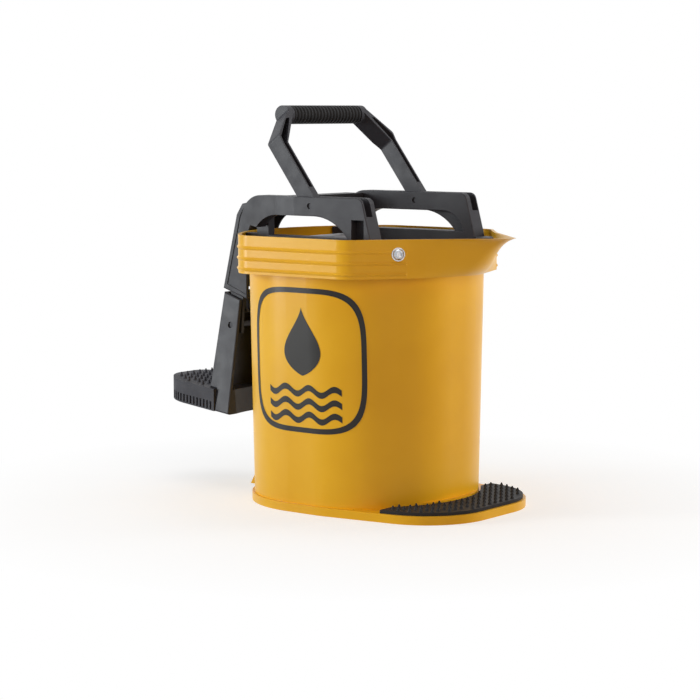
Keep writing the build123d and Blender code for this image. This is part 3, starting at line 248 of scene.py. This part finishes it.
def on_wall(along, up, lift):
    """Points on the near wall, lift outside it. The wall's plan at height z is a rectangle with round
    corners whose half sizes and radius change evenly from foot to band; along is the way on that plan
    from its middle, first straight, then round the corner of radius r by the angle a = way / r."""
    share = up / WALL_HEIGHT
    half_x, half_y, radius = (foot + gain * share for foot, gain in zip(FOOT_PLAN, PLAN_GAIN))
    straight = half_x - radius
    past = np.clip(np.abs(along) - straight, 0.0, None) / radius
    side = np.sign(along)
    x = WALL_MIDDLE_X + side * (np.minimum(np.abs(along), straight) + (radius + lift) * np.sin(past))
    y = -(half_y - radius + (radius + lift) * np.cos(past))
    return np.stack([x, y, up], axis=-1)


def grid_faces(rows, columns, first):
    """Quads of a grid of points, rows by columns, seen from outside with columns to the right."""
    row, column = np.meshgrid(np.arange(rows - 1), np.arange(columns - 1), indexing="ij")
    low = first + row * columns + column
    return np.stack([low, low + 1, low + columns + 1, low + columns], axis=-1).reshape(-1, 4)


PRINT_MIDDLE = 0.006         # way from the wall's middle to the print's
PRINT_LIFT = 0.0003
OUTLINE_HALF = (0.074, 0.076)
OUTLINE_Z = 0.162
OUTLINE_WIDTH = 0.0055
DROP_HALF = 0.030
DROP_FOOT_Z = 0.146
DROP_HEIGHT = 0.072
WAVE_FEET = (0.127, 0.113, 0.099)
WAVE_THICK = 0.0065
WAVE_HALF = 0.047            # half the way that a row of waves runs
WAVE_SWING = 0.0035
WAVE_LENGTH = 0.0313


def wall_print():
    """Black print on the near wall: a closed band |s / w|^4 + |z / h|^4 = 1 round a drop, whose half width
    is c sin(pi v^0.8) sqrt(1 - v) for v from its foot to its tip, over three rows of waves
    z = k + b sin(2 pi s / m)."""
    parts = []
    turn = np.linspace(0.0, 2 * np.pi, 241)[None, :]
    circle = np.stack([np.cos(turn), np.sin(turn)])
    shape = np.sqrt(np.abs(circle)) * np.sign(circle)
    inset = np.array([0.0, OUTLINE_WIDTH])[:, None]
    parts.append((PRINT_MIDDLE + (OUTLINE_HALF[0] - inset) * shape[0],
                  OUTLINE_Z + (OUTLINE_HALF[1] - inset) * shape[1]))
    rise, across = np.meshgrid(np.linspace(0.0, 1.0, 61), np.linspace(-1.0, 1.0, 25), indexing="ij")
    belly = DROP_HALF * np.sin(np.pi * rise ** 0.8) * np.sqrt(1 - rise)
    parts.append((PRINT_MIDDLE + across * belly, DROP_FOOT_Z + DROP_HEIGHT * rise))
    thick, way = np.meshgrid(np.linspace(0.0, WAVE_THICK, 3), np.linspace(-WAVE_HALF, WAVE_HALF, 97),
                             indexing="ij")
    swing = WAVE_SWING * np.sin(2 * np.pi * way / WAVE_LENGTH)
    for foot in WAVE_FEET:
        parts.append((PRINT_MIDDLE + way, foot + thick + swing))
    points, faces, count = [], [], 0
    for along, up in parts:
        points.append(on_wall(along, up, PRINT_LIFT).reshape(-1, 3))
        faces.append(grid_faces(*along.shape, count))
        count += along.size
    ink = moulded("print_ink", linear(26, 25, 24), linear(36, 34, 32), (0.34, 0.44), 0.3,
                  (40.0, 0.00005), (1500.0, 0.00001))
    piece = mesh_piece("wall_print", np.concatenate(points), np.concatenate(faces), ink)
    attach(piece, "base")


wall_print()


def area_lamp(name, place, target, size, watts, colour=(1, 1, 1), mirrored=True):
    """Rectangular soft box that looks at a target; mirrored says whether gloss shows it."""
    lamp = bpy.data.lights.new(name, "AREA")
    lamp.shape = "RECTANGLE"
    lamp.size, lamp.size_y = size
    lamp.energy = watts
    lamp.color = colour
    holder = bpy.data.objects.new(name, lamp)
    holder.location = place
    holder.rotation_euler = (Vector(target) - Vector(place)).to_track_quat("-Z", "Y").to_euler()
    holder.visible_glossy = mirrored
    bpy.context.collection.objects.link(holder)


def seen_directly(tree):
    """1 for rays from the camera, and for those that a mirror or glass sends on, 0 for all others."""
    path = tree.nodes.new("ShaderNodeLightPath")
    total = path.outputs["Is Camera Ray"]
    for name in ("Is Glossy Ray", "Is Transmission Ray"):
        both = tree.nodes.new("ShaderNodeMath")
        both.operation = "MAXIMUM"
        tree.links.new(total, both.inputs[0])
        tree.links.new(path.outputs[name], both.inputs[1])
        total = both.outputs["Value"]
    return total


FLOOR_SHADE = 0.55           # grey of the floor's paint
FLOOR_GLOW = 0.55            # light that it adds where it is seen directly
FLOOR_FADE = (0.2, 0.5)      # from the shadow's floor to plain white, in metres from the middle
FLOOR_HALF = 6.0
WORLD_FILL = 0.17            # light of the white surroundings on the object


def floor_paint():
    """Pale floor that keeps the shadow near the object and turns to plain white further out."""
    made, tree, shader = material("floor_paint", 0.9, 0.2)
    direct = seen_directly(tree)
    shader.inputs["Base Color"].default_value = (FLOOR_SHADE, FLOOR_SHADE, FLOOR_SHADE, 1)
    shader.inputs["Emission Color"].default_value = (1, 1, 1, 1)
    tree.links.new(spread(tree, direct, 0.0, FLOOR_GLOW, 0.0, 1.0), shader.inputs["Emission Strength"])
    place = tree.nodes.new("ShaderNodeTexCoord")
    length = tree.nodes.new("ShaderNodeVectorMath")
    length.operation = "LENGTH"
    tree.links.new(place.outputs["Object"], length.inputs[0])
    far = spread(tree, length.outputs["Value"], 0.0, 1.0, *FLOOR_FADE)
    both = tree.nodes.new("ShaderNodeMath")
    both.operation = "MULTIPLY"
    tree.links.new(far, both.inputs[0])
    tree.links.new(direct, both.inputs[1])
    bright = tree.nodes.new("ShaderNodeEmission")
    mix = tree.nodes.new("ShaderNodeMixShader")
    tree.links.new(both.outputs["Value"], mix.inputs["Fac"])
    tree.links.new(shader.outputs["BSDF"], mix.inputs[1])
    tree.links.new(bright.outputs["Emission"], mix.inputs[2])
    tree.links.new(mix.outputs["Shader"], tree.nodes["Material Output"].inputs["Surface"])
    return made


def studio():
    """Pale floor, white surroundings, soft boxes to the left, in front, to the right and above."""
    side = FLOOR_HALF
    corners = [(-side, -side, 0), (side, -side, 0), (side, side, 0), (-side, side, 0)]
    mesh = bpy.data.meshes.new("floor")
    mesh.from_pydata(corners, [], [(0, 1, 2, 3)])
    floor = bpy.data.objects.new("floor", mesh)
    bpy.context.collection.objects.link(floor)
    mesh.materials.append(floor_paint())
    world = bpy.data.worlds.new("studio")
    world.use_nodes = True
    tree = world.node_tree
    back = tree.nodes["Background"]
    back.inputs["Color"].default_value = (1, 1, 1, 1)
    tree.links.new(spread(tree, seen_directly(tree), WORLD_FILL, 1.0, 0.0, 1.0), back.inputs["Strength"])
    bpy.context.scene.world = world
    area_lamp("left_box", place=(-1.53, -1.42, 0.50), target=(0, 0, 0.22), size=(0.42, 1.1), watts=30,
              colour=(0.94, 0.985, 1.0))
    area_lamp("front_box", place=(2.02, -1.26, 1.0), target=(0, 0, 0.2), size=(1.5, 1.2), watts=16.5,
              colour=(1.0, 0.73, 0.52))
    area_lamp("right_low", place=(1.05, 1.69, 0.12), target=(0, 0, 0.12), size=(0.5, 0.5), watts=26,
              mirrored=False)
    area_lamp("right_high", place=(1.22, 1.58, 1.35), target=(0, 0, 0.3), size=(0.6, 0.6), watts=4)
    area_lamp("top_box", place=(-0.1, 0.1, 2.0), target=(0, 0, 0.2), size=(1.2, 1.2), watts=8)


FOCAL_PIXELS = 2150.0        # focal length in pixels of the square frame
FRAME_PIXELS = 700.0
SENSOR = 36.0                # mm
CAMERA_PLACE = (1.4072, -1.8345, 0.4227)
CAMERA_AIM = (-0.6118, 0.7831, -0.1119)


def camera():
    """Camera of the photograph: 110.6 mm lens on 36 mm, about 2.3 m from the bucket."""
    view = bpy.data.cameras.new("camera")
    view.sensor_width = SENSOR
    view.lens = FOCAL_PIXELS / FRAME_PIXELS * SENSOR
    view.clip_end = 50.0
    holder = bpy.data.objects.new("camera", view)
    holder.location = CAMERA_PLACE
    holder.rotation_euler = Vector(CAMERA_AIM).to_track_quat("-Z", "Y").to_euler()
    bpy.context.collection.objects.link(holder)
    bpy.context.scene.camera = holder
    bpy.context.scene.view_settings.view_transform = "Standard"


studio()
camera()
